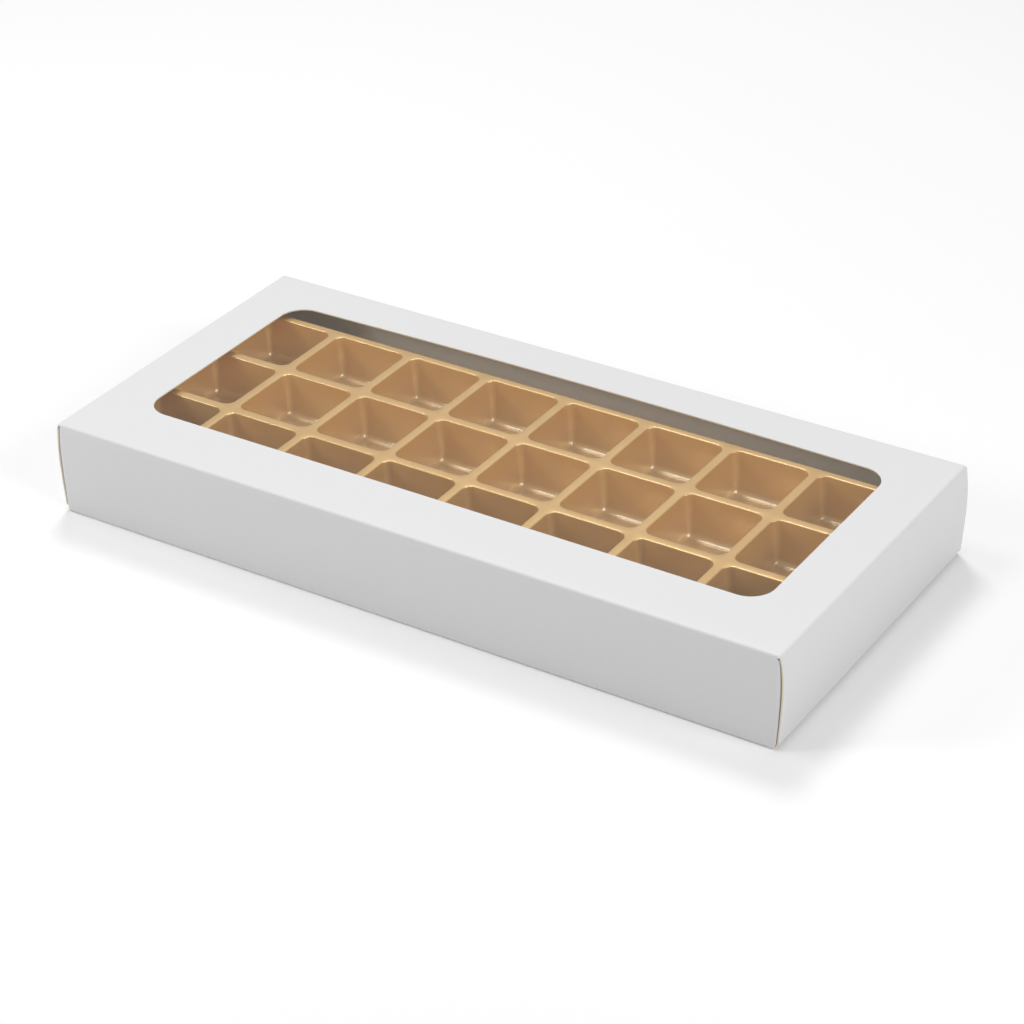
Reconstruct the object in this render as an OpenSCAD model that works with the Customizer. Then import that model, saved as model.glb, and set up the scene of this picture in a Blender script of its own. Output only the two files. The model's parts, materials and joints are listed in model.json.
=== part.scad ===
// Long, low folding carton with a windowed top, tuck-in ends and a moulded tray of square cavities.
// Millimetres. The origin is the centre of the footprint. +X runs along the length, -Y is the front
// and +Z is up. The ends are mirror images of each other.

/* [Carton] */
// Length over the creases of the two ends
carton_length = 265; // [230:1:320]
// Width over the front and back walls
carton_width = 125; // [115:1:150]
// Height over the top and bottom panels
carton_height = 33; // [30:0.5:45]
// Thickness of the board
board_t = 0.45; // [0.35:0.05:0.6]
// Outer radius of the folds along the length
fold_r = 0.9; // [0.7:0.1:1.5]
// Height of the glue flap inside the back wall
glue_flap_h = 15; // [8:0.5:22]
// Thickness of the glue between the glue flap and the back wall
seam_glue_t = 0.05; // [0.03:0.01:0.15]
// Height of the strip of glue on the glue flap
seam_glue_w = 8; // [3:0.5:12]

/* [Window] */
// From each end crease to the window
window_end_margin = 18; // [12:0.5:35]
// From the front wall to the window
window_front_margin = 22.3; // [14:0.1:32]
// From the back wall to the window
window_back_margin = 17.5; // [14:0.1:32]
// Radius of the window's corners
window_corner_r = 8.5; // [3:0.5:16]
// Thickness of the clear film
film_t = 0.15; // [0.1:0.05:0.3]
// How far the film runs past the window on each side
film_lap = 9; // [6:0.5:11]
// Width of the band of glue round the window
film_glue_w = 4; // [1:0.5:4.5]
// Thickness of that glue
film_glue_t = 0.05; // [0.03:0.01:0.1]

/* [End closures] */
// How far a closure swells outward between its creases
closure_bow = 1; // [0.3:0.1:1.5]
// From a closure's side edge to the outside of the wall beside it
closure_side_gap = 0.3; // [0.2:0.1:1]
// Length of a tuck flap from its crease
tuck_length = 14; // [8:0.5:15]
// Upward slope of a tuck flap inside the carton, degrees
tuck_slope = 15; // [10:1:20]
// Radius of a tuck flap's free corners
tuck_corner_r = 6; // [2:0.5:7]
// From a tuck flap's side edge to the inside of the wall beside it
tuck_side_gap = 1.3; // [0.8:0.1:4]
// Height of a tuck flap's crease over the bottom panel, to its lowest point
tuck_lift = 0.55; // [0.3:0.05:1]

/* [Dust flaps] */
// Length of a dust flap from its crease
dust_length = 30; // [15:0.5:40]
// Slope of a dust flap's upper edge, degrees
dust_taper = 25; // [20:1:30]
// Depth of a dust flap's upper edge under the top crease, at its root
dust_drop = 2.2; // [1.5:0.1:4]
// Height of a dust flap's lower edge over the bottom panel
dust_lift = 3; // [2:0.1:5]
// Radius of a dust flap's free corners
dust_corner_r = 3; // [1:0.5:4]
// From a dust flap to the closure outside it
dust_gap = 0.3; // [0.2:0.05:0.6]

/* [Tray] */
// Cavities along the length
cavity_columns = 8; // [6:1:9]
// Cavities across the width
cavity_rows = 3; // [2:1:3]
// Thickness of the moulded sheet
tray_t = 0.4; // [0.3:0.05:0.5]
// From each end crease to the edge of the deck
tray_end_gap = 7.7; // [6:0.1:14]
// From each wall's outside to the edge of the deck, with the tray in the middle
tray_side_gap = 14.7; // [12.5:0.1:18]
// How far the loose tray lies towards the front
tray_forward = 7; // [0:0.5:8]
// From the top of the deck up to the top panel
tray_headroom = 1.85; // [1:0.05:4]
// Width of the flat rib between two cavities
rib_w = 3.2; // [2:0.1:5]
// Depth of a cavity
cavity_depth = 14.7; // [8:0.1:18]
// Draft of a cavity's walls, degrees
cavity_draft = 7; // [3:0.5:8]
// Radius of a cavity's corners at its mouth
cavity_corner_r = 4.3; // [3:0.1:8]
// Radius round the foot of a cavity's walls
cavity_floor_r = 1.9; // [1:0.1:2]
// Draft of the skirt, degrees
skirt_draft = 4; // [2:0.5:5]
// Radius of the deck's outer corners
deck_corner_r = 7; // [4:0.5:10]
// Radius of the deck's outer edge, where it turns down into the skirt
deck_edge_r = 1.2; // [0.8:0.1:2]
// Width of the foot that turns out of the skirt
foot_w = 2; // [1:0.1:2.5]

/* [Hidden] */
function tray_node(column) = str("tray_column_", column);
$fn = 64;

// Which end or wall a flap belongs to
LEFT = -1;
RIGHT = 1;
FRONT = -1;
BACK = 1;

// Colours of the white face of the board, its shaded insides, the glue, the film and the tray
board_white = "#f1f1ef";
flap_white = "#e2e1dd";
glue_cream = "#e9e2cf";
film_clear = [0.86, 0.9, 0.92, 0.25];
tray_gold = "#c79a55";

// Clearance between a crease's round edge and the panel that it turns in
crease_gap = 0.06;
// From the bottom panel's end to the outside of the closure
bottom_set_back = 1.5;
// From the window to the band of glue round it
film_glue_inset = 1.5;
// From the end of the glue flap, at its root and at its free edge, to the end of the wall
glue_flap_root_gap = 1;
glue_flap_tip_gap = 4;
// From the ends and the free edge of the glue flap to its glue
seam_glue_inset = 2;
// Running clearance under the tray's feet
tray_seat_gap = 0.05;
// From a tuck flap to the relief that the skirt's ends leave for it
tuck_relief = 1.2;
// Overrun of every cut
cut_over = 1;
// Flats that a cavity's round foot and the deck's round edge are made of
foot_steps = 2;
edge_steps = 4;

// Half sizes of the carton, and the middle of the board's thickness
half_l = carton_length / 2;
half_w = carton_width / 2;
half_t = board_t / 2;

// Creases of an end: the closure's on the top panel, the tuck flap's on the closure, and the place
// along the length of the dust flaps' upright creases
closure_axis = [half_l - half_t, carton_height - half_t];
tuck_axis = [half_l - half_t, board_t + tuck_lift + half_t];
dust_axis_x = half_l - board_t - dust_gap - half_t;
dust_axis_y = half_w - half_t;
wall_half_l = dust_axis_x - half_t - crease_gap;

// Outside of the glue flap
flap_y = half_w - board_t - seam_glue_t;

// Window, as half lengths and as places across the width
window_half_l = half_l - window_end_margin;
window_y0 = window_front_margin - half_w;
window_y1 = half_w - window_back_margin;
window_r = min(window_corner_r, window_half_l / 2, (window_y1 - window_y0) / 3);

// Tray: half sizes of the deck, height of the deck, and the grid of the cavities
deck_half_l = half_l - tray_end_gap;
deck_half_w = half_w - tray_side_gap;
deck_z = carton_height - board_t - tray_headroom;
tray_h = deck_z - board_t - tray_seat_gap;
pitch_x = (2 * deck_half_l - rib_w) / cavity_columns;
pitch_y = (2 * deck_half_w - rib_w) / cavity_rows;
mouth_half_x = (pitch_x - rib_w) / 2;
mouth_half_y = (pitch_y - rib_w) / 2;
floor_r = min(cavity_floor_r,
    (cavity_corner_r - cavity_depth * tan(cavity_draft)) / (1 / cos(cavity_draft) - tan(cavity_draft)));

// Space that a tuck flap takes, seen from the end of the carton
tuck_reach_x = tuck_axis[0] - tuck_length - tuck_relief;
tuck_top_z = tuck_axis[1] + tuck_length * sin(tuck_slope) + half_t + tuck_relief;

// Shapes in two dimensions

// A quarter of a ring in the first quadrant
module quarter_ring(outer, inner) {
    difference() {
        intersection() {
            circle(outer);
            square(outer);
        }
        circle(inner);
    }
}

// A rectangle from [x0, y0] to [x1, y1] with round corners
module round_rect(x0, y0, x1, y1, r) {
    translate([x0 + r, y0])
        square([x1 - x0 - 2 * r, y1 - y0]);
    translate([x0, y0 + r])
        square([x1 - x0, y1 - y0 - 2 * r]);
    for (x = [x0 + r, x1 - r], y = [y0 + r, y1 - r])
        translate([x, y])
            circle(r);
}

// Half outlines of drafted forms, as lists of [reach, z] from the top down. The reach is counted
// outward from the centre of the form's corners.

// Narrows downward from a reach of r at z = 0 to a round foot at its floor
function pocket_outline(r, depth, foot_r, draft, above) =
    let (
        centre_x = r - (depth - foot_r) * tan(draft) - foot_r / cos(draft),
        step = (90 - draft) / foot_steps
    )
    concat(
        [[r + above * tan(draft), above]],
        [for (a = [draft:step:90 + step / 2])
            [centre_x + foot_r * cos(a), foot_r - depth - foot_r * sin(a)]]
    );

// Widens downward from a round upper edge; its wall would reach r at z = 0
function skirt_outline(r, depth, edge_r, draft) =
    let (
        centre_x = r + edge_r * (1 - sin(draft)) * tan(draft) - edge_r * cos(draft),
        step = (90 - draft) / edge_steps
    )
    concat(
        [for (a = [90:-step:draft - step / 2])
            [centre_x + edge_r * cos(a), edge_r * sin(a) - edge_r]],
        [[r + depth * tan(draft), -depth]]
    );

// Ways to give an outline its depth

// Y across the page and Z up, drawn out along the length to both sides of the middle
module along_x(half) {
    rotate([90, 0, 90])
        linear_extrude(2 * half, center = true)
            children();
}

// X across the page and Z up, drawn out across the width to both sides of the middle
module along_y(half) {
    rotate([90, 0, 0])
        linear_extrude(2 * half, center = true)
            children();
}

// A block whose sides and round corners all follow a half outline. Its core, between the centres of
// its corners, is 2 * core_x by 2 * core_y.
module drafted_form(core_x, core_y, outline) {
    last = len(outline) - 1;
    side = concat([[0, outline[0][1]]], outline, [[0, outline[last][1]]]);
    along_x(core_x)
        polygon(concat(
            [for (p = outline) [core_y + p[0], p[1]]],
            [for (i = [last:-1:0]) [-core_y - outline[i][0], outline[i][1]]]
        ));
    for (turn = [0, 180])
        rotate(turn)
            translate([core_x, 0, 0])
                along_y(core_y)
                    polygon(side);
    for (side_x = [0, 1], side_y = [0, 1])
        mirror([side_x, 0, 0])
            mirror([0, side_y, 0])
                translate([core_x, core_y, 0])
                    rotate_extrude(angle = 90)
                        polygon(side);
}

// Children are drawn for the right end; the left end is their mirror image
module at_end(end) {
    mirror([end == LEFT ? 1 : 0, 0, 0])
        children();
}

// Sleeve of the carton

module window_outline(grow) {
    round_rect(-window_half_l - grow, window_y0 - grow, window_half_l + grow, window_y1 + grow,
        window_r + grow);
}

module top_panel() {
    panel_half_l = closure_axis[0] - half_t - crease_gap;
    color(board_white)
        translate([0, 0, carton_height - board_t])
            linear_extrude(board_t)
                difference() {
                    translate([-panel_half_l, fold_r - half_w])
                        square([2 * panel_half_l, carton_width - 2 * fold_r]);
                    window_outline(0);
                }
}

// The wall carries the folds to the top panel and to the bottom panel
module front_wall() {
    color(board_white)
        along_x(wall_half_l) {
            translate([fold_r - half_w, carton_height - fold_r])
                rotate(90)
                    quarter_ring(fold_r, fold_r - board_t);
            translate([-half_w, fold_r])
                square([board_t, carton_height - 2 * fold_r]);
            translate([fold_r - half_w, fold_r])
                rotate(180)
                    quarter_ring(fold_r, fold_r - board_t);
        }
}

// The wall carries the fold to the top panel and ends below in a cut edge outside the glue flap
module back_wall() {
    color(board_white)
        along_x(wall_half_l) {
            translate([half_w - fold_r, carton_height - fold_r])
                quarter_ring(fold_r, fold_r - board_t);
            translate([half_w - board_t, 0])
                square([board_t, carton_height - fold_r]);
        }
}

module bottom_panel() {
    color(board_white)
        translate([bottom_set_back - half_l, fold_r - half_w, 0])
            cube([carton_length - 2 * bottom_set_back, half_w + flap_y - 2 * fold_r, board_t]);
}

// The flap turns up from the bottom panel and lies inside the back wall; its ends are cut at a slant
module glue_flap() {
    root_half_l = wall_half_l - glue_flap_root_gap;
    tip_half_l = wall_half_l - glue_flap_tip_gap;
    color(flap_white)
        intersection() {
            along_x(root_half_l) {
                translate([flap_y - fold_r, fold_r])
                    rotate(-90)
                        quarter_ring(fold_r, fold_r - board_t);
                translate([flap_y - board_t, fold_r])
                    square([board_t, glue_flap_h - fold_r]);
            }
            translate([0, flap_y - fold_r, 0])
                rotate([90, 0, 0])
                    linear_extrude(4 * fold_r, center = true)
                        polygon([
                            [-root_half_l, -cut_over],
                            [root_half_l, -cut_over],
                            [root_half_l, fold_r],
                            [tip_half_l, glue_flap_h],
                            [-tip_half_l, glue_flap_h],
                            [-root_half_l, fold_r]
                        ]);
        }
}

module seam_glue() {
    strip_half_l = wall_half_l - glue_flap_tip_gap - seam_glue_inset;
    color(glue_cream)
        translate([-strip_half_l, flap_y, glue_flap_h - seam_glue_inset - seam_glue_w])
            cube([2 * strip_half_l, seam_glue_t, seam_glue_w]);
}

module window_film() {
    color(film_clear)
        translate([0, 0, carton_height - board_t - film_glue_t - film_t])
            linear_extrude(film_t)
                translate([-window_half_l - film_lap, window_y0 - film_lap])
                    square([
                        2 * (window_half_l + film_lap),
                        window_y1 - window_y0 + 2 * film_lap
                    ]);
}

module film_glue() {
    color(glue_cream)
        translate([0, 0, carton_height - board_t - film_glue_t])
            linear_extrude(film_glue_t)
                difference() {
                    window_outline(film_glue_inset + film_glue_w);
                    window_outline(film_glue_inset);
                }
}

// Tray

module tray_form(inset, below) {
    translate([0, 0, -inset])
        drafted_form(deck_half_l - deck_corner_r, deck_half_w - deck_corner_r,
            skirt_outline(deck_corner_r - inset * (1 / cos(skirt_draft) - tan(skirt_draft)),
                tray_h - inset + below, deck_edge_r - inset, skirt_draft));
}

module tray_foot() {
    reach = deck_corner_r + tray_h * tan(skirt_draft) + foot_w;
    drafted_form(deck_half_l - deck_corner_r, deck_half_w - deck_corner_r,
        [[reach, tray_t - tray_h], [reach, -tray_h]]);
}

module cavity_form(grow, above) {
    drafted_form(mouth_half_x - cavity_corner_r, mouth_half_y - cavity_corner_r,
        pocket_outline(cavity_corner_r + grow / cos(cavity_draft), cavity_depth + grow,
            floor_r + grow, cavity_draft, above));
}

module each_cavity(middle_x) {
    for (row = [0:cavity_rows - 1])
        translate([middle_x, (row - (cavity_rows - 1) / 2) * pitch_y, 0])
            children();
}

// The deck and its skirt. The skirt's ends stop above the tuck flaps, so that its feet run along the
// front and the back only.
module tray_shell() {
    difference() {
        union() {
            tray_form(0, 0);
            tray_foot();
        }
        tray_form(tray_t, cut_over);
        for (side = [0, 1])
            mirror([side, 0, 0])
                translate([tuck_reach_x, -half_w, -deck_z])
                    cube([half_l, carton_width, tuck_top_z]);
    }
}

// The tray is one moulded sheet. Each column of cavities, counted from the left, has a node of its own,
// and neighbours meet along the middle of a rib. The first and the last run on over the deck's ends. The
// outsides of the cavities start within the thickness of the deck.
module tray_column(column) {
    middle_x = (column - (cavity_columns + 1) / 2) * pitch_x;
    x0 = column == 1 ? -half_l : middle_x - pitch_x / 2;
    x1 = column == cavity_columns ? half_l : middle_x + pitch_x / 2;
    color(tray_gold)
        translate([0, -tray_forward, deck_z])
            difference() {
                union() {
                    intersection() {
                        tray_shell();
                        translate([x0, -half_w, -deck_z])
                            cube([x1 - x0, carton_width, 2 * deck_z]);
                    }
                    each_cavity(middle_x)
                        cavity_form(tray_t, -tray_t / 2);
                }
                each_cavity(middle_x)
                    cavity_form(0, cut_over);
            }
}

// Flaps of an end

// The round upper edge turns in the crease at the end of the top panel
module closure(end) {
    chord = closure_axis[1] - tuck_axis[1];
    bow_r = (chord * chord / 4 + closure_bow * closure_bow) / (2 * closure_bow);
    bow_x = closure_axis[0] + closure_bow - bow_r;
    foot_z = tuck_axis[1] + half_t + crease_gap;
    color(board_white)
        at_end(end)
            along_y(half_w - closure_side_gap) {
                translate(closure_axis)
                    circle(half_t);
                intersection() {
                    difference() {
                        translate([bow_x, (closure_axis[1] + tuck_axis[1]) / 2])
                            circle(bow_r + half_t, $fn = 256);
                        translate([bow_x, (closure_axis[1] + tuck_axis[1]) / 2])
                            circle(bow_r - half_t, $fn = 256);
                    }
                    translate([closure_axis[0] - board_t, foot_z])
                        square([closure_bow + 2 * board_t, closure_axis[1] - foot_z]);
                }
            }
}

// The flap slopes up inside the carton and turns about the closure's lower crease
module tuck_flap(end) {
    flap_half_w = half_w - board_t - tuck_side_gap;
    corner_r = min(tuck_corner_r, tuck_length / 2);
    color(flap_white)
        at_end(end)
            translate([tuck_axis[0], 0, tuck_axis[1]])
                rotate([0, tuck_slope, 0]) {
                    along_y(flap_half_w)
                        circle(half_t);
                    translate([0, 0, -half_t])
                        linear_extrude(board_t) {
                            translate([-tuck_length, corner_r - flap_half_w])
                                square([tuck_length, 2 * (flap_half_w - corner_r)]);
                            translate([corner_r - tuck_length, -flap_half_w])
                                square([tuck_length - corner_r, 2 * flap_half_w]);
                            for (side = [-1, 1])
                                translate([corner_r - tuck_length, side * (flap_half_w - corner_r)])
                                    circle(corner_r);
                        }
                }
}

// The flap lies inside the closure and turns about its upright crease at the end of the wall
module dust_flap(end, wall) {
    low = board_t + dust_lift;
    high = closure_axis[1] - dust_drop;
    reach = dust_length - dust_corner_r;
    tip_high = high - dust_length * tan(dust_taper);
    color(flap_white)
        at_end(end)
            mirror([0, wall == BACK ? 1 : 0, 0])
                translate([dust_axis_x, -dust_axis_y, 0]) {
                    translate([0, 0, low])
                        cylinder(h = high - low, r = half_t);
                    rotate([90, 0, 90])
                        linear_extrude(board_t, center = true) {
                            polygon([
                                [0, low],
                                [reach, low],
                                [dust_length, low + dust_corner_r],
                                [dust_length, tip_high],
                                [0, high]
                            ]);
                            intersection() {
                                translate([reach, low + dust_corner_r])
                                    circle(dust_corner_r);
                                translate([reach, low])
                                    square(dust_corner_r);
                            }
                        }
                }
}

top_panel();
front_wall();
back_wall();
bottom_panel();
glue_flap();
seam_glue();
window_film();
film_glue();
closure(LEFT);  // left_closure
tuck_flap(LEFT);  // left_tuck_flap
dust_flap(LEFT, FRONT);  // left_front_dust_flap
dust_flap(LEFT, BACK);  // left_back_dust_flap
closure(RIGHT);  // right_closure
tuck_flap(RIGHT);  // right_tuck_flap
dust_flap(RIGHT, FRONT);  // right_front_dust_flap
dust_flap(RIGHT, BACK);  // right_back_dust_flap
for (column = [1:cavity_columns])
    tray_column(column);
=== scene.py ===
import json
import math

import bmesh
import bpy
import numpy as np
from bpy.props import FloatProperty, FloatVectorProperty, IntProperty, PointerProperty
from bpy.types import Operator, Panel, PropertyGroup
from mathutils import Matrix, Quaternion, Vector


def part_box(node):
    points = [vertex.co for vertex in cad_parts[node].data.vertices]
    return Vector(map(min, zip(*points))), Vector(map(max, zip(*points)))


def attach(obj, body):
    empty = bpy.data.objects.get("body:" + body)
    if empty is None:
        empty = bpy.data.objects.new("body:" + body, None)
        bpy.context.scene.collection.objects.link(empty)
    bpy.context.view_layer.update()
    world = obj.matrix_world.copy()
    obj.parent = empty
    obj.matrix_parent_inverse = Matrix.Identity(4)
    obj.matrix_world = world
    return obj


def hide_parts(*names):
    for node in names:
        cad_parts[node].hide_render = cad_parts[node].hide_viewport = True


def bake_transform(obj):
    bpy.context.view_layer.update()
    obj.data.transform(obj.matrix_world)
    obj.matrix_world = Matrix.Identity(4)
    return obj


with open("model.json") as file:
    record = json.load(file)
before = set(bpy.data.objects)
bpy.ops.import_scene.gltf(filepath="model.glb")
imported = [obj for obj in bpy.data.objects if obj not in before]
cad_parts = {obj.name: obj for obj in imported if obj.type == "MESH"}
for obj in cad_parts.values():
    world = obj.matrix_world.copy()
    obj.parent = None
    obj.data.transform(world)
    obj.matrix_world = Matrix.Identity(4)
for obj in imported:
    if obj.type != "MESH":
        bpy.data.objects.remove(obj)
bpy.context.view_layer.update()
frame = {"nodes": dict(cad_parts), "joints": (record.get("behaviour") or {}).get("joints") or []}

# A white folding carton with a clear window in its top, tuck-in ends and a gold moulded tray.
# Metres. +X runs along the length, -Y is the front and +Z is up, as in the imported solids.

bl_info = {
    "name": "Windowed Confectionery Carton",
    "version": (1, 0, 0),
    "blender": (4, 5, 0),
    "location": "3D View > Sidebar > Carton",
    "description": "Dresses a windowed folding carton and its moulded tray over their solids",
    "category": "Add Mesh",
}

MM = 0.001

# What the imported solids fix
TOP_LOW, TOP_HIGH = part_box("top_panel")
WALL_LOW, WALL_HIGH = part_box("front_wall")
GLUE_FLAP_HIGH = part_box("glue_flap")[1]
FILM_LOW, FILM_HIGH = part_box("window_film")
CLOSURE_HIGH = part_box("right_closure")[1]
TUCK_LOW, TUCK_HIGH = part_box("right_tuck_flap")
DUST_LOW, DUST_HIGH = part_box("right_front_dust_flap")
TRAY_NODES = [name for name in frame["nodes"] if name.startswith("tray_column")]
TRAY_BOXES = [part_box(name) for name in TRAY_NODES]
TRAY_LOW = Vector([min(low[k] for low, _ in TRAY_BOXES) for k in range(3)])
TRAY_HIGH = Vector([max(high[k] for _, high in TRAY_BOXES) for k in range(3)])
HINGES = {j["name"]: Vector(j["pos_m"]) for j in frame["joints"] if j["type"] == "hinge"}

BOARD = TOP_HIGH.z - TOP_LOW.z
HEIGHT = TOP_HIGH.z
HALF_WIDTH = -WALL_LOW.y
FOLD = WALL_HIGH.y - WALL_LOW.y
SLEEVE_HALF_LENGTH = WALL_HIGH.x
END_X = HINGES["right_closure_hinge"].x + BOARD / 2

# The free strips beside the window spring until this far past its ends, and by this curve
SPRING_PAST_WINDOW = 2 * MM
SPRING_CURVE = 1.3

# Steps round each corner of the window and along its long and short sides
WINDOW_STEPS = (10, 40, 12)
# Steps round each corner of a cavity and along its sides
CAVITY_STEPS = (8, 6, 6)
# Least radius that a cavity's corners keep towards its floor
LEAST_CORNER = 0.2 * MM
# Rings that crown a cavity's floor: share of its half size, and share of the crown's height
CROWN_RINGS = ((0.8, 0.3), (0.5, 0.8))
# Points closer than this lie on the same edge
NEAR = 1e-6
# Folds sharper than this show a hard edge
SHARP = math.radians(50)

# The camera, fitted to the corners of the carton, its window and the tray's ribs
CAMERA_PLACE = (0.4413, -0.6787, 0.4974)
CAMERA_AIM = (0.00985, -0.01134, 0.0165)
CAMERA_ROLL = math.radians(-1.19)
CAMERA_LENS = 102.7

# Even light from all round, and how much of its colour the floor shows to the lamps' light
WORLD_LIGHT = 0.43
FLOOR_SHARE = 0.68
# Name, place in metres, width in metres and power in watts of each softbox. All aim at the origin.
SOFTBOXES = (
    ("key_softbox", (-0.42, 0.60, 1.25), 0.4, 5.8),
    ("overhead_softbox", (-0.45, -0.15, 1.1), 0.35, 1.5),
    ("front_softbox", (-0.60, -0.55, 0.46), 0.25, 1.8),
    ("side_softbox", (1.0, -0.15, 0.65), 0.6, 4.4),
)


def linear(code):
    """The linear colour of an sRGB hex code."""
    shares = [int(code[i : i + 2], 16) / 255 for i in (1, 3, 5)]
    return tuple(s / 12.92 if s <= 0.04045 else ((s + 0.055) / 1.055) ** 2.4 for s in shares)


def length(name, description, default):
    """A length that a user may change."""
    return FloatProperty(
        name=name, description=description, default=default, subtype="DISTANCE", unit="LENGTH",
        precision=5, min=0.0,
    )


def colour(name, description, code):
    """A colour that a user may change."""
    return FloatVectorProperty(
        name=name, description=description, default=linear(code), subtype="COLOR", size=3,
        min=0.0, max=1.0,
    )


class CartonSizes(PropertyGroup):
    """Sizes of the folded board and its window."""

    window_end: length("Window to end", "From each end crease to the window", 18 * MM)
    window_front: length("Window to front", "From the front wall to the window", 22.3 * MM)
    window_back: length("Window to back", "From the back wall to the window", 17.5 * MM)
    window_corner: length("Window corner", "Radius of the window's corners", 8.5 * MM)
    back_rise: length("Back rise", "How far the strip behind the window springs up", 0.8 * MM)
    back_lean: length("Back lean", "How far that strip's free edge bows backward", 0.6 * MM)
    front_rise: length("Front rise", "How far the strip before the window springs up", 0.25 * MM)
    closure_bow: length("Closure bow", "How far an end closure swells outward", 1.0 * MM)
    corner_depth: length("Corner depth", "Over which a closure narrows below its top", 3 * MM)
    bottom_set_back: length("Bottom set-back", "From an end crease to the bottom panel", 1.5 * MM)
    glue_flap_slant: length("Glue flap slant", "How far the glue flap's ends slant in", 3 * MM)
    dust_spring: FloatProperty(
        name="Dust spring", description="Share of a closure's swell that a dust flap follows",
        default=0.75, min=0.0, max=1.0,
    )
    tuck_fold: length("Tuck fold", "Radius of the soft fold from a closure to its flap", 1.0 * MM)
    tuck_corner: length("Tuck corner", "Radius of a tuck flap's free corners", 6 * MM)
    dust_fold: length("Dust fold", "Radius of the fold from a wall to a dust flap", 0.5 * MM)
    dust_corner: length("Dust corner", "Radius of a dust flap's free corners", 3 * MM)
    dust_root: length("Dust root", "Over which a dust flap narrows beside its wall", 1.2 * MM)
    dust_taper: FloatProperty(
        name="Dust taper", description="Slope of a dust flap's upper edge",
        default=math.radians(25), subtype="ANGLE", min=0.0,
    )
    glue_inset: length("Glue inset", "From the window to the band of glue round it", 1.5 * MM)
    glue_width: length("Glue width", "Width of the band of glue round the window", 4 * MM)
    film: length("Film thickness", "Thickness of the clear film", 0.15 * MM)
    film_wave: length("Film wave", "Height of the film's slack waves", 0.12 * MM)


class TraySizes(PropertyGroup):
    """Sizes of the moulded tray."""

    columns: IntProperty(name="Columns", description="Cavities along the length", default=8, min=1)
    rows: IntProperty(name="Rows", description="Cavities across the width", default=3, min=1)
    sheet: length("Sheet", "Thickness of the moulded sheet", 0.4 * MM)
    deck_length: length("Deck length", "Length of the deck over its rounded edges", 249.6 * MM)
    deck_width: length("Deck width", "Width of the deck over its rounded edges", 95.6 * MM)
    forward: length("Forward", "How far the loose tray lies towards the front", 7 * MM)
    rib: length("Rib", "Width of the rib between two cavities", 3.2 * MM)
    mouth_corner: length("Mouth corner", "Radius of a cavity's corners at its mouth", 3.3 * MM)
    rim: length("Rim radius", "Radius that rolls from the deck into a cavity", 0.4 * MM)
    depth: length("Depth", "Depth of a cavity", 14.7 * MM)
    draft: FloatProperty(
        name="Draft", description="Slope of a cavity's walls", default=math.radians(7),
        subtype="ANGLE", min=0.0,
    )
    foot: length("Foot radius", "Radius from a cavity's walls to its floor", 2.6 * MM)
    crown: length("Floor crown", "How far a cavity's floor is drawn up at its middle", 0.15 * MM)
    deck_corner: length("Deck corner", "Radius of the deck's outer corners", 7 * MM)
    deck_edge: length("Deck edge", "Radius of the deck's outer edge", 0.8 * MM)
    skirt_draft: FloatProperty(
        name="Skirt draft", description="Slope of the skirt", default=math.radians(4),
        subtype="ANGLE", min=0.0,
    )
    foot_width: length("Foot width", "Width of the foot that turns out of the skirt", 2 * MM)
    relief: length("Relief", "From a tuck flap to the end of the skirt above it", 1.2 * MM)


class CartonColours(PropertyGroup):
    """Colours of the finishes."""

    coating: colour("Coating", "Clay coating on the outside of the board", "#e7e7e8")
    # painted light: lighter and warmer than bare board, standing in for the gold-tinted light
    # bounced inside the box
    lining: colour("Lining", "Uncoated inside of the board", "#f8f1e4")
    fibre: colour("Cut edge", "Fibre that shows at a cut edge of the board", "#f4e7cc")
    gold: colour("Gold", "Gold lacquer of the tray", "#dfb268")
    # painted sheen: the paler gold that the tray turns to down into its cavities
    gold_painted_sheen: colour("Sheen gold", "Gold lacquer where the sheet is drawn thin", "#e4c797")
    film: colour("Film", "Clear film", "#f2f5f6")
    glue: colour("Glue", "Dried glue", "#ece4cd")
    floor: colour("Floor", "Studio floor", "#ffffff")


# Materials


def add_node(tree, kind, inputs=None, **settings):
    """Adds a node, sets it up, and fills or links its inputs."""
    node = tree.nodes.new(kind)
    for name, value in settings.items():
        setattr(node, name, value)
    for key, value in (inputs or {}).items():
        if isinstance(value, bpy.types.NodeSocket):
            tree.links.new(value, node.inputs[key])
        else:
            node.inputs[key].default_value = value
    return node


def new_material(name):
    """An empty node material and its tree."""
    material = bpy.data.materials.new(name)
    material.use_nodes = True
    material.node_tree.nodes.clear()
    return material, material.node_tree


def shade(rgb, share=1.0):
    """A colour at a share of its strength, as a socket takes it."""
    return (*(c * share for c in rgb), 1.0)


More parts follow.
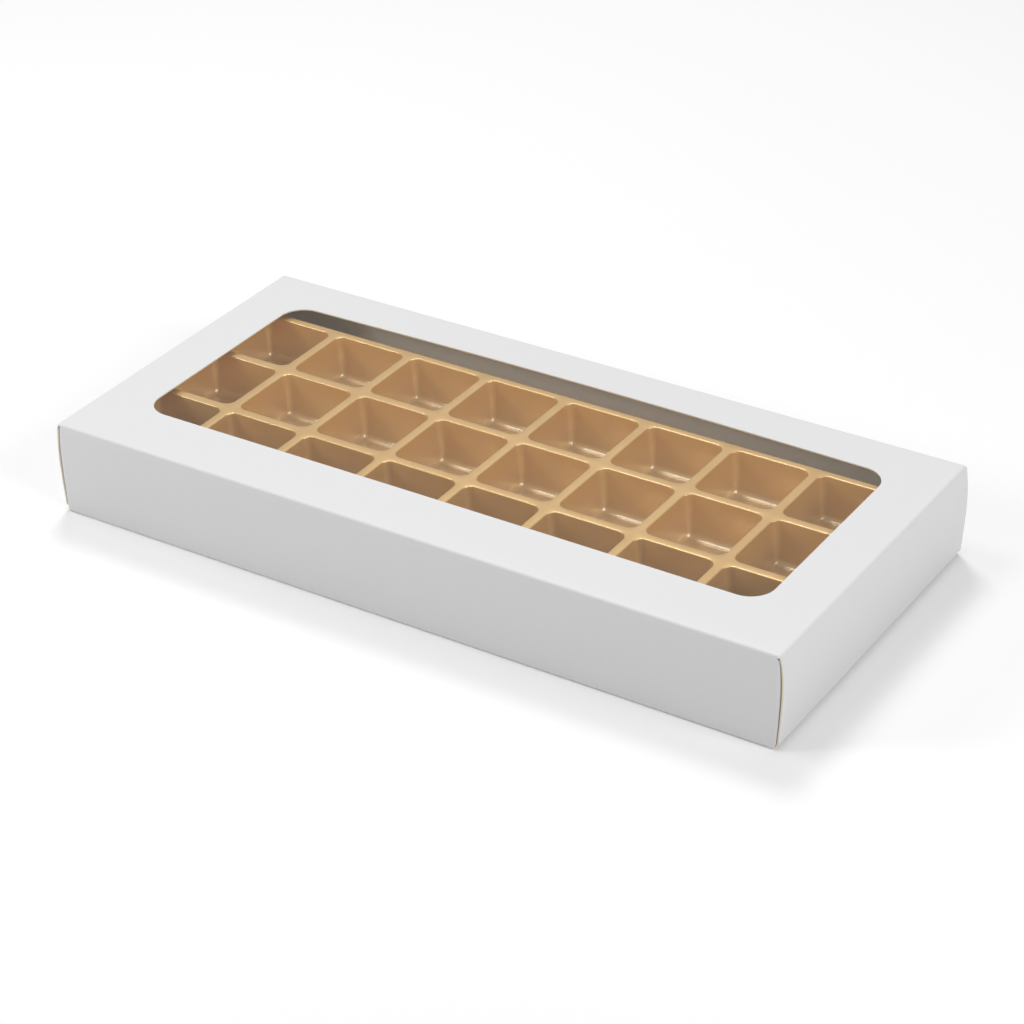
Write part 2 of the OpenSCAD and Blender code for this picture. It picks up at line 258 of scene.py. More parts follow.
def coated_board(colours):
    """Clay-coated folding boxboard: calendered, so smooth, with a low sheen and faint mottling.
    The coat mottles over about 3 mm and the sheet cockles over about 24 mm. Its fibres are some
    0.03 mm wide and are drawn at 0.35 mm, so that they show."""
    material, tree = new_material("clay_coated_boxboard")
    point = add_node(tree, "ShaderNodeTexCoord").outputs["Object"]
    mottle, fibre, cockle = (
        add_node(
            tree, "ShaderNodeTexNoise", {"Vector": point, "Scale": 1 / size, "Detail": detail}
        ).outputs["Fac"]
        for size, detail in ((3.0 * MM, 3.0), (0.35 * MM, 2.0), (24 * MM, 1.0))
    )
    base = add_node(
        tree, "ShaderNodeMix",
        {"Factor": mottle, "A": shade(colours.coating, 0.985), "B": shade(colours.coating)},
        data_type="RGBA",
    )
    roughness = add_node(
        tree, "ShaderNodeMapRange",
        {"Value": mottle, "From Min": 0.3, "From Max": 0.7, "To Min": 0.44, "To Max": 0.52},
    )
    height = add_node(
        tree, "ShaderNodeMath", {0: cockle, 1: 4.0, 2: fibre}, operation="MULTIPLY_ADD"
    )
    bump = add_node(
        tree, "ShaderNodeBump",
        {"Height": height.outputs["Value"], "Strength": 0.10, "Distance": 0.05 * MM},
    )
    shader = add_node(
        tree, "ShaderNodeBsdfPrincipled",
        {"Base Color": base.outputs["Result"], "Roughness": roughness.outputs["Result"],
         "IOR": 1.5, "Normal": bump.outputs["Normal"]},
    )
    add_node(tree, "ShaderNodeOutputMaterial", {"Surface": shader.outputs["BSDF"]})
    return material


def uncoated_board(colours):
    """Bare inside of the boxboard: matt, and painted lighter and warmer than bare board to stand in
    for the gold-tinted light bounced inside the box. Its fibres lie along the length, in bundles
    about 0.1 mm wide that are drawn at 0.6 mm, so that they show."""
    material, tree = new_material("uncoated_boxboard")
    point = add_node(tree, "ShaderNodeTexCoord").outputs["Object"]
    along = add_node(tree, "ShaderNodeMapping", {"Vector": point, "Scale": (0.4, 1.0, 1.0)})
    fibre = add_node(
        tree, "ShaderNodeTexNoise",
        {"Vector": along.outputs["Vector"], "Scale": 1 / (0.6 * MM), "Detail": 4.0},
    ).outputs["Fac"]
    # the lining colour carries painted bounce light, and the fibres vary it at random
    base = add_node(
        tree, "ShaderNodeMix",
        {"Factor": fibre, "A": shade(colours.lining, 0.95), "B": shade(colours.lining)},
        data_type="RGBA",
    )
    roughness = add_node(
        tree, "ShaderNodeMapRange",
        {"Value": fibre, "From Min": 0.3, "From Max": 0.7, "To Min": 0.78, "To Max": 0.88},
    )
    bump = add_node(
        tree, "ShaderNodeBump", {"Height": fibre, "Strength": 0.25, "Distance": 0.05 * MM}
    )
    shader = add_node(
        tree, "ShaderNodeBsdfPrincipled",
        {"Base Color": base.outputs["Result"], "Roughness": roughness.outputs["Result"],
         "IOR": 1.5, "Normal": bump.outputs["Normal"]},
    )
    add_node(tree, "ShaderNodeOutputMaterial", {"Surface": shader.outputs["BSDF"]})
    return material


def cut_edge(colours):
    """Cut edge of the boxboard: unbleached fibre between the coatings, rough and in plies of about
    0.1 mm that are drawn at 0.25 mm, so that they show."""
    material, tree = new_material("cut_boxboard_fibre")
    point = add_node(tree, "ShaderNodeTexCoord").outputs["Object"]
    flat = add_node(tree, "ShaderNodeMapping", {"Vector": point, "Scale": (0.15, 0.15, 1.0)})
    plies = add_node(
        tree, "ShaderNodeTexNoise",
        {"Vector": flat.outputs["Vector"], "Scale": 1 / (0.25 * MM), "Detail": 3.0},
    )
    base = add_node(
        tree, "ShaderNodeMix",
        {"Factor": plies.outputs["Fac"], "A": shade(colours.fibre, 0.82),
         "B": shade(colours.fibre)},
        data_type="RGBA",
    )
    shader = add_node(
        tree, "ShaderNodeBsdfPrincipled",
        {"Base Color": base.outputs["Result"], "Roughness": 0.9, "IOR": 1.5},
    )
    add_node(tree, "ShaderNodeOutputMaterial", {"Surface": shader.outputs["BSDF"]})
    return material


def gold_polystyrene(colours, deck_z, depth):
    """Vacuum-formed polystyrene with a metallic gold lacquer: satin, under a clear gloss.
    The gold is painted paler down into the cavities, a painted sheen on their walls and floors, and
    its gloss clouds over about 9 mm. Its flakes, some 0.03 mm across, are drawn at 0.18 mm to show."""
    material, tree = new_material("gold_lacquered_polystyrene")
    point = add_node(tree, "ShaderNodeTexCoord").outputs["Object"]
    cloud, flake = (
        add_node(
            tree, "ShaderNodeTexNoise", {"Vector": point, "Scale": 1 / size, "Detail": 2.0}
        ).outputs["Fac"]
        for size in (9 * MM, 0.18 * MM)
    )
    height = add_node(tree, "ShaderNodeSeparateXYZ", {"Vector": point}).outputs["Z"]
    # painted sheen: share of the paler gold, none just under the deck and 0.8 at a cavity's floor
    drawn = add_node(
        tree, "ShaderNodeMapRange",
        {"Value": height, "From Min": deck_z - 0.5 * MM, "From Max": deck_z - depth,
         "To Min": 0.0, "To Max": 0.8},
    ).outputs["Result"]
    thin = add_node(
        tree, "ShaderNodeMath", {0: cloud, 1: 0.25, 2: drawn}, operation="MULTIPLY_ADD",
        use_clamp=True,
    )
    # the random gloss cloud and the painted sheen together mix in the paler gold
    base = add_node(
        tree, "ShaderNodeMix",
        {"Factor": thin.outputs["Value"], "A": shade(colours.gold), "B": shade(colours.gold_painted_sheen)},
        data_type="RGBA",
    )
    roughness = add_node(
        tree, "ShaderNodeMapRange",
        {"Value": cloud, "From Min": 0.3, "From Max": 0.7, "To Min": 0.32, "To Max": 0.38},
    )
    bump = add_node(
        tree, "ShaderNodeBump", {"Height": flake, "Strength": 0.06, "Distance": 0.03 * MM}
    )
    shader = add_node(
        tree, "ShaderNodeBsdfPrincipled",
        {"Base Color": base.outputs["Result"], "Metallic": 0.5,
         "Roughness": roughness.outputs["Result"], "Coat Weight": 1.0, "Coat IOR": 1.6,
         "Coat Roughness": 0.12, "Normal": bump.outputs["Normal"]},
    )
    add_node(tree, "ShaderNodeOutputMaterial", {"Surface": shader.outputs["BSDF"]})
    return material


def clear_pet_film(colours):
    """Clear polyester film: nearly invisible and glossy, with a trace of haze over about 14 mm."""
    material, tree = new_material("clear_pet_film")
    point = add_node(tree, "ShaderNodeTexCoord").outputs["Object"]
    haze = add_node(
        tree, "ShaderNodeTexNoise", {"Vector": point, "Scale": 1 / (14 * MM), "Detail": 1.0}
    )
    base = add_node(
        tree, "ShaderNodeMix",
        {"Factor": haze.outputs["Fac"], "A": shade(colours.film, 0.96), "B": shade(colours.film)},
        data_type="RGBA",
    )
    shader = add_node(
        tree, "ShaderNodeBsdfPrincipled",
        {"Base Color": base.outputs["Result"], "Roughness": 0.08, "IOR": 1.57, "Alpha": 0.03},
    )
    add_node(tree, "ShaderNodeOutputMaterial", {"Surface": shader.outputs["BSDF"]})
    return material


def dried_glue(colours):
    """Dried white glue: thin, slightly yellow and a little glossy, with ripples about 1.5 mm apart
    from the roller."""
    material, tree = new_material("dried_glue")
    point = add_node(tree, "ShaderNodeTexCoord").outputs["Object"]
    along = add_node(tree, "ShaderNodeMapping", {"Vector": point, "Scale": (0.3, 1.0, 1.0)})
    ripple = add_node(
        tree, "ShaderNodeTexNoise",
        {"Vector": along.outputs["Vector"], "Scale": 1 / (1.5 * MM), "Detail": 2.0},
    ).outputs["Fac"]
    base = add_node(
        tree, "ShaderNodeMix",
        {"Factor": ripple, "A": shade(colours.glue, 0.93), "B": shade(colours.glue)},
        data_type="RGBA",
    )
    bump = add_node(
        tree, "ShaderNodeBump", {"Height": ripple, "Strength": 0.3, "Distance": 0.03 * MM}
    )
    shader = add_node(
        tree, "ShaderNodeBsdfPrincipled",
        {"Base Color": base.outputs["Result"], "Roughness": 0.45, "IOR": 1.47,
         "Normal": bump.outputs["Normal"]},
    )
    add_node(tree, "ShaderNodeOutputMaterial", {"Surface": shader.outputs["BSDF"]})
    return material


def studio_floor(colours):
    """Matt white studio floor. The camera and reflections see it a little paler than light does."""
    material, tree = new_material("matt_studio_floor")
    path = add_node(tree, "ShaderNodeLightPath")
    seen = add_node(
        tree, "ShaderNodeMath",
        {0: path.outputs["Is Camera Ray"], 1: path.outputs["Is Glossy Ray"]}, operation="MAXIMUM",
    )
    seen = add_node(
        tree, "ShaderNodeMath",
        {0: seen.outputs["Value"], 1: path.outputs["Is Transmission Ray"]}, operation="MAXIMUM",
    )
    base = add_node(
        tree, "ShaderNodeMix",
        {"Factor": seen.outputs["Value"], "A": shade(colours.floor, FLOOR_SHARE),
         "B": shade(colours.floor)},
        data_type="RGBA",
    )
    shader = add_node(
        tree, "ShaderNodeBsdfDiffuse", {"Color": base.outputs["Result"], "Roughness": 0.0}
    )
    add_node(tree, "ShaderNodeOutputMaterial", {"Surface": shader.outputs["BSDF"]})
    return material


SHARED_MATERIALS = {}


def shared_material(make):
    """A material that several pieces share, made once."""
    if make not in SHARED_MATERIALS:
        SHARED_MATERIALS[make] = make(bpy.context.scene.carton_colours)
    return SHARED_MATERIALS[make]


def board_materials():
    """Outside, inside and cut edge of the board."""
    return [shared_material(make) for make in (coated_board, uncoated_board, cut_edge)]


# Meshes


def mesh_piece(name, points, faces, materials):
    """A smooth mesh object whose faces have one winding."""
    mesh = bpy.data.meshes.new(name)
    mesh.from_pydata([tuple(p) for p in points], [], faces)
    for material in materials:
        mesh.materials.append(material)
    mesh.polygons.foreach_set("use_smooth", [True] * len(mesh.polygons))
    mesh.update()
    piece = bpy.data.objects.new(name, mesh)
    bpy.context.scene.collection.objects.link(piece)
    return piece


def grid(first, rows, columns, flip=False):
    """Faces of a grid of points numbered row by row from first."""
    faces = []
    for r in range(rows - 1):
        for c in range(columns - 1):
            a = first + r * columns + c
            face = (a, a + 1, a + columns + 1, a + columns)
            faces.append(face[::-1] if flip else face)
    return faces


def strip(low, high, flip=False):
    """Faces between two rows of point numbers."""
    faces = []
    for i in range(len(low) - 1):
        face = (low[i], low[i + 1], high[i + 1], high[i])
        faces.append(face[::-1] if flip else face)
    return faces


def thicken(piece, thickness, board=True):
    """Gives a sheet its thickness on the side away from its normals. Board gets its lining there
    and its cut edge round the rim."""
    modifier = piece.modifiers.new("thickness", "SOLIDIFY")
    modifier.thickness = thickness
    modifier.offset = -1
    modifier.use_even_offset = True
    modifier.use_rim = True
    if board:
        modifier.material_offset = 1
        modifier.material_offset_rim = 2
    bpy.context.view_layer.update()
    depsgraph = bpy.context.evaluated_depsgraph_get()
    mesh = bpy.data.meshes.new_from_object(piece.evaluated_get(depsgraph))
    piece.modifiers.clear()
    old, piece.data = piece.data, mesh
    name = old.name
    bpy.data.meshes.remove(old)
    mesh.name = name
    mesh.set_sharp_from_angle(angle=SHARP)
    return piece


def finish_piece(piece, body, slot, *nodes):
    """Rides a piece on a body and hides the solids that it stands for. Its slot is not used."""
    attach(piece, body)
    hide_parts(*nodes)
    return piece


def arc(centre, radius, start, end, steps):
    """Points of an arc as pairs, angles in degrees."""
    angles = [math.radians(a) for a in np.linspace(start, end, steps + 1)]
    return [(centre[0] + radius * math.cos(a), centre[1] + radius * math.sin(a)) for a in angles]


def matched_loops(half_x, half_y, radius, limits, loop_steps, round_corner=0.0, rounded=()):
    """Points round an opening with round corners, and the points of a rectangle that they lead to.
    limits are the rectangle's left, right, front and back, and loop_steps the steps round each
    corner and along the sides in x and in y. Corners in rounded get round_corner."""
    left, right, front, back = limits
    corner_steps, x_steps, y_steps = loop_steps
    core_x, core_y = half_x - radius, half_y - radius
    inner, outer = [], []
    for k, (sx, sy) in enumerate([(1, 1), (-1, 1), (-1, -1), (1, -1)]):
        side_x, side_y = (right if sx > 0 else left), (back if sy > 0 else front)
        for i in range(corner_steps + 1):
            a = math.radians(90 * (k + i / corner_steps))
            c, s = abs(math.cos(a)), abs(math.sin(a))
            inner.append((sx * (core_x + radius * c), sy * (core_y + radius * s)))
            if (sx, sy) in rounded:
                ox, oy = side_x - sx * round_corner, side_y - sy * round_corner
                outer.append((ox + sx * round_corner * c, oy + sy * round_corner * s))
            elif c >= s:
                outer.append((side_x, sy * core_y + (side_y - sy * core_y) * s / c))
            else:
                outer.append((sx * core_x + (side_x - sx * core_x) * c / s, side_y))
        across = k % 2 == 0
        steps = x_steps if across else y_steps
        for i in range(1, steps):
            t = 1 - 2 * i / steps
            if across:
                inner.append((sx * core_x * t, sy * half_y))
                outer.append((sx * core_x * t, side_y))
            else:
                inner.append((sx * half_x, sy * core_y * t))
                outer.append((side_x, sy * core_y * t))
    return inner, outer


def opening_loop(half_x, half_y, radius, loop_steps):
    """Points round an opening alone."""
    return matched_loops(half_x, half_y, radius, (-1, 1, -1, 1), loop_steps)[0]


def new_row(points, places):
    """Adds points and returns their numbers."""
    first = len(points)
    points += places
    return list(range(first, len(points)))


def ring_strip(low, high, flip=False):
    """Faces between two closed rings of point numbers."""
    return strip(low + low[:1], high + high[:1], flip)


# Board


def window_shape(sizes):
    """Centre and half sizes of the window."""
    front, back = sizes.window_front - HALF_WIDTH, HALF_WIDTH - sizes.window_back
    return (front + back) / 2, END_X - sizes.window_end, (back - front) / 2


def spring_along(x, half_x):
    """Share of the spring along the length: whole in the middle, none past the window."""
    return max(0.0, 1 - (x / (half_x + SPRING_PAST_WINDOW)) ** 2) ** SPRING_CURVE


def spring(sizes, x, y):
    """Share of the spring at a place on the board: whole at the window, none at the crease."""
    centre, half_x, half_y = window_shape(sizes)
    along = spring_along(x, half_x)
    crease = HALF_WIDTH - FOLD
    if y >= centre:
        return along * min(1.0, max(0.0, (crease - y) / (crease - centre - half_y)))
    return along * min(1.0, max(0.0, (crease + y) / (crease + centre - half_y)))


def sprung(sizes, x, y, z):
    """A point of the top panel, moved as the free board springs."""
    centre = window_shape(sizes)[0]
    share = spring(sizes, x, y)
    if y >= centre:
        return x, y + sizes.back_lean * share, z + sizes.back_rise * share
    return x, y, z + sizes.front_rise * share


def sleeve(sizes, materials):
    """Top, front, bottom, glue flap and back of the carton: one folded sheet with a window."""
    centre, half_x, half_y = window_shape(sizes)
    crease = HALF_WIDTH - FOLD
    limits = (-SLEEVE_HALF_LENGTH, SLEEVE_HALF_LENGTH, -crease - centre, crease - centre)
    inner, outer = matched_loops(half_x, half_y, sizes.window_corner, limits, WINDOW_STEPS)
    points, faces, rings = [], [], []
    for share in (0.0, 0.04, 0.2, 0.45, 0.75, 1.0):
        rings.append(new_row(points, [
            sprung(sizes, ax + (bx - ax) * share, ay + (by - ay) * share + centre, HEIGHT)
            for (ax, ay), (bx, by) in zip(inner, outer)
        ]))
    for low, high in zip(rings, rings[1:]):
        faces += ring_strip(low, high, flip=True)
    front_row, back_row = (
        sorted((i for i in rings[-1] if abs(points[i][1] - y) < NEAR), key=lambda i: points[i][0])
        for y in (-crease, crease)
    )
    xs = [points[i][0] / SLEEVE_HALF_LENGTH for i in front_row]

    # half length, y and z from the top crease round the front and bottom to the glue flap's edge
    flap_y = GLUE_FLAP_HIGH.y
    front = [(SLEEVE_HALF_LENGTH, -y, z)
             for y, z in arc((crease, HEIGHT - FOLD), FOLD, 90, 0, 8)[1:]]
    front += [(SLEEVE_HALF_LENGTH, -HALF_WIDTH, z)
              for z in np.linspace(HEIGHT - FOLD, FOLD, 9)[1:]]
    bottom_half = END_X - sizes.bottom_set_back
    turn = arc((crease, FOLD), FOLD, 0, -90, 6)[1:]
    front += [(SLEEVE_HALF_LENGTH + (bottom_half - SLEEVE_HALF_LENGTH) * i / 5, -y, z)
              for i, (y, z) in enumerate(turn)]
    front += [(bottom_half, y, 0.0) for y in np.linspace(-crease, flap_y - FOLD, 10)[1:]]
    root, tip = GLUE_FLAP_HIGH.x, GLUE_FLAP_HIGH.x - sizes.glue_flap_slant
    front += [(bottom_half + (root - bottom_half) * i / 5, y, z)
              for i, (y, z) in enumerate(arc((flap_y - FOLD, FOLD), FOLD, -90, 0, 6)[1:])]
    front += [(root + (tip - root) * t, flap_y, FOLD + (GLUE_FLAP_HIGH.z - FOLD) * t)
              for t in (0.25, 0.5, 0.75, 1.0)]
    back = [(SLEEVE_HALF_LENGTH, y, z)
            for y, z in arc((crease, HEIGHT - FOLD), FOLD, 90, 0, 8)[1:]]
    back += [(SLEEVE_HALF_LENGTH, HALF_WIDTH, z)
             for z in np.linspace(HEIGHT - FOLD, 0.0, 9)[1:]]
    for row, outline, flip in ((front_row, front, True), (back_row, back, False)):
        for half, y, z in outline:
            new = new_row(points, [(x * half, y, z) for x in xs])
            faces += strip(row, new, flip)
            row = new
    return thicken(mesh_piece("carton_sleeve", points, faces, materials), BOARD)


def window_film(sizes, material):
    """Clear film under the top panel, a little slack, which follows the sprung strips."""
    columns, rows = 49, 21
    points = []
    crease = HALF_WIDTH - FOLD
    centre, half_x, half_y = window_shape(sizes)
    for y in np.linspace(FILM_LOW.y, FILM_HIGH.y, rows):
        for x in np.linspace(FILM_LOW.x, FILM_HIGH.x, columns):
            along = spring_along(x, half_x)
            back = along * min(max(0.0, (crease - y) / (crease - centre - half_y)),
                               max(0.0, (y - centre + half_y) / (2 * half_y)))
            front = along * min(max(0.0, (crease + y) / (crease + centre - half_y)),
                                max(0.0, (centre + half_y - y) / (2 * half_y)))
            inside = max(0.0, 1 - (x / half_x) ** 2) * max(0.0, 1 - ((y - centre) / half_y) ** 2)
            # waves about 66 mm long and 52 mm across
            wave = math.sin(x * 95 + 1.1) * math.cos(y * 120 - 0.6) - 1
            points.append((x, y, FILM_HIGH.z + sizes.back_rise * back + sizes.front_rise * front
                           + sizes.film_wave * inside * wave))
    piece = mesh_piece("clear_window_film", points, grid(0, rows, columns), [material])
    return thicken(piece, sizes.film, board=False)


def window_glue(sizes, material):
    """Band of dried glue between the film and the top panel."""
    centre, half_x, half_y = window_shape(sizes)
    points, faces, rings = [], [], []
    for grow in np.linspace(sizes.glue_inset, sizes.glue_inset + sizes.glue_width, 4):
        loop = opening_loop(half_x + grow, half_y + grow, sizes.window_corner + grow, WINDOW_STEPS)
        rings.append(new_row(points, [
            sprung(sizes, x, y + centre, HEIGHT - BOARD) for x, y in loop
        ]))
    for low, high in zip(rings, rings[1:]):
        faces += ring_strip(low, high, flip=True)
    piece = mesh_piece("window_glue_band", points, faces, [material])
    return thicken(piece, HEIGHT - BOARD - FILM_HIGH.z, board=False)


# Ends. An outline is the outside of the board at the right end: x and z of a closure and its tuck
# flap, x and y of a dust flap at the front.


def bow(share, height):
    """Swell of a closure at a share of its height from the top, fullest about two fifths down."""
    return height * math.sin(math.pi * min(1.0, max(0.0, share)) ** 0.72) ** 1.1


def tuck_fold_top(sizes):
    """Height at which a closure ends and its tuck fold begins."""
    return HINGES["right_tuck_hinge"].z + sizes.tuck_fold


def closure_outline(sizes):
    """The closure's outside from the top panel down to its tuck fold."""
    outline = [(SLEEVE_HALF_LENGTH, HEIGHT)]
    outline += arc((END_X - FOLD, HEIGHT - FOLD), FOLD, 90, 0, 10)
    low = tuck_fold_top(sizes)
    for share in np.linspace(0, 1, 25)[1:]:
        z = HEIGHT - FOLD + (low - HEIGHT + FOLD) * share
        outline.append((END_X + bow(share, sizes.closure_bow), z))
    return outline


def closure(side, sizes, materials):
    """One end closure with its fold to the top panel and its swollen face."""
    name = "right" if side > 0 else "left"
    outline = closure_outline(sizes)
    crease = HALF_WIDTH - FOLD
    # closer together at the corners, where the fold rounds off
    corner = [1, 0.9985, 0.996, 0.993, 0.9895]
    across = [-share for share in corner] + [*np.linspace(-0.985, 0.985, 31)] + corner[::-1]
    points = []
    for x, z in outline:
        low = min(1.0, max(0.0, (HEIGHT - FOLD - z) / sizes.corner_depth))
        half = HALF_WIDTH + (CLOSURE_HIGH.y - HALF_WIDTH) * low
        flat = min(1.0, max(0.0, (z - HEIGHT + FOLD) / FOLD))
        for share in across:
            y = share * half
            past = max(0.0, abs(y) - crease) / FOLD
            points.append((side * x, y, z - flat * FOLD * (1 - math.sqrt(max(0.0, 1 - past ** 2)))))
    faces = grid(0, len(outline), len(across), flip=side > 0)
    piece = thicken(mesh_piece(f"{name}_end_closure", points, faces, materials), BOARD)
    x, z = END_X - FOLD, HEIGHT - FOLD
    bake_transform(piece)
    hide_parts(f"{name}_closure")
    return piece


def corner_cut(radius, to_edge):
    """How much a round corner takes off a flap's side at a distance from its free edge."""
    past = radius - to_edge
    return radius - math.sqrt(max(0.0, radius ** 2 - past ** 2)) if past > 0 else 0.0


def tuck_flap(side, sizes, materials):
    """One tuck flap with the soft fold that joins it to its closure."""
    name = "right" if side > 0 else "left"
    start_x, start_z = closure_outline(sizes)[-1]
    radius = sizes.tuck_fold
    slope = math.atan2(TUCK_HIGH.z - TUCK_LOW.z - BOARD, TUCK_HIGH.x - TUCK_LOW.x - BOARD)
    fold = arc((start_x - radius, start_z), radius, 0, -90 - math.degrees(slope), 10)
    end_x, end_z = fold[-1]
    reach = TUCK_LOW.x + BOARD / 2
    run = end_x - reach
    outline = fold + [(end_x - run * t, end_z + run * t * math.tan(slope))
                      for t in np.linspace(0, 1, 15)[1:]]
    shoulder_steps, columns = 8, 33
    points = []
    for i, (x, z) in enumerate(outline):
        shoulder = min(1.0, i / shoulder_steps)
        half = CLOSURE_HIGH.y + (TUCK_HIGH.y - CLOSURE_HIGH.y) * shoulder
        half -= corner_cut(sizes.tuck_corner, x - reach)
        points += [(side * x, y, z) for y in np.linspace(-half, half, columns)]
    faces = grid(0, len(outline), columns, flip=side > 0)
    piece = thicken(mesh_piece(f"{name}_tuck_fold", points, faces, materials), BOARD)
    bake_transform(piece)
    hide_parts(f"{name}_tuck_flap")
    return piece


def dust_flap(side, wall, sizes, materials):
    """One dust flap with its fold round the end of the wall."""
    name = ("right" if side > 0 else "left") + ("_front" if wall < 0 else "_back")
    radius = sizes.dust_fold
    plate_x = DUST_HIGH.x
    fold = arc((plate_x - radius, -HALF_WIDTH + radius), radius, -90, 0, 6)
    outline = [(SLEEVE_HALF_LENGTH, -HALF_WIDTH)] + fold
    root_y = fold[-1][1]
    reach = DUST_HIGH.y
    outline += [(plate_x, root_y + (reach - root_y) * t) for t in np.linspace(0, 1, 21)[1:]]
    taper = math.tan(sizes.dust_taper)
    closure_top = HEIGHT - FOLD
    closure_height = closure_top - tuck_fold_top(sizes)
    run, points, rows = 0.0, [], 17
    for i, (x, y) in enumerate(outline):
        if i:
            run += math.dist(outline[i - 1], (x, y))
        share = min(1.0, run / sizes.dust_root)
        bottom = FOLD + (DUST_LOW.z - FOLD) * share + corner_cut(sizes.dust_corner, reach - y)
        top = closure_top + (DUST_HIGH.z - closure_top) * share
        top -= max(0.0, y - root_y) * taper
        follow = sizes.dust_spring * min(1.0, i / (len(fold) - 1))
        for z in np.linspace(bottom, top, rows):
            swell = follow * bow((closure_top - z) / closure_height, sizes.closure_bow)
            points.append((side * (x + swell), -wall * y, z))
    faces = grid(0, len(outline), rows, flip=side * wall < 0)
    piece = thicken(mesh_piece(f"{name}_dust_fold", points, faces, materials), BOARD)
    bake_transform(piece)
    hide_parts(f"{name}_dust_flap")
    return piece


# Tray


def cavity_profile(sizes):
    """Rings of a cavity from the deck down: growth of its half size and corner radius over the
    mouth's, and depth. The rim and the foot are rolled; the wall between them is drafted."""
    draft, rim, foot, depth = sizes.draft, sizes.rim, sizes.foot, sizes.depth
    slope = math.tan(draft)
    rim_centre = rim * math.tan((math.pi / 2 - draft) / 2)
    rings = []
    for a in np.linspace(math.pi / 2, draft, 6):
        rings.append((rim_centre - rim * math.cos(a), rim - rim * math.sin(a)))
    floor_centre = -depth * slope - foot * math.tan((math.pi / 2 - draft) / 2)
    foot_top = depth - foot + foot * math.sin(draft)
    top_reach, top_depth = rings[-1]
    foot_reach = floor_centre + foot * math.cos(draft)
    for t in (0.2, 0.4, 0.6, 0.8):
        rings.append((top_reach + (foot_reach - top_reach) * t,
                      top_depth + (foot_top - top_depth) * t))
    for a in np.linspace(draft, math.pi / 2, 8):
        rings.append((floor_centre + foot * math.cos(a), depth - foot + foot * math.sin(a)))
    return rings


def cavity(points, faces, centre, mouth, profile, sizes, previous):
    """Adds one cavity inside a ring of deck points: its rim, its walls and its crowned floor."""
    (cx, cy), (mouth_x, mouth_y) = centre, mouth
    for grow, depth in profile:
        ring = opening_loop(mouth_x + grow, mouth_y + grow,
                            max(sizes.mouth_corner + grow, LEAST_CORNER), CAVITY_STEPS)
        new = new_row(points, [(cx + x, cy + y, -depth) for x, y in ring])
        faces += ring_strip(previous, new)
        previous = new
    for share, lift in CROWN_RINGS:
        new = new_row(points, [
            (cx + x * share, cy + y * share, -sizes.depth + sizes.crown * lift) for x, y in ring
        ])
        faces += ring_strip(previous, new)
        previous = new
    hub = len(points)
    points.append((cx, cy, -sizes.depth + sizes.crown))
    faces += [(previous[i], previous[(i + 1) % len(previous)], hub) for i in range(len(previous))]


def skirt_levels(sizes, height):
    """Reach out from the deck and depth under it, down the rolled edge, the skirt and its foot."""
    edge, draft = sizes.deck_edge, sizes.skirt_draft
    levels = [(edge * math.sin(a), edge - edge * math.cos(a))
              for a in np.linspace(0, math.pi / 2 - draft, 7)[1:]]
    out, down = levels[-1]
    for z in np.linspace(down, height - sizes.sheet, 8)[1:]:
        levels.append((out + (z - down) * math.tan(draft), z))
    out, down = levels[-1]
    return levels + [(out + sizes.foot_width, down)]


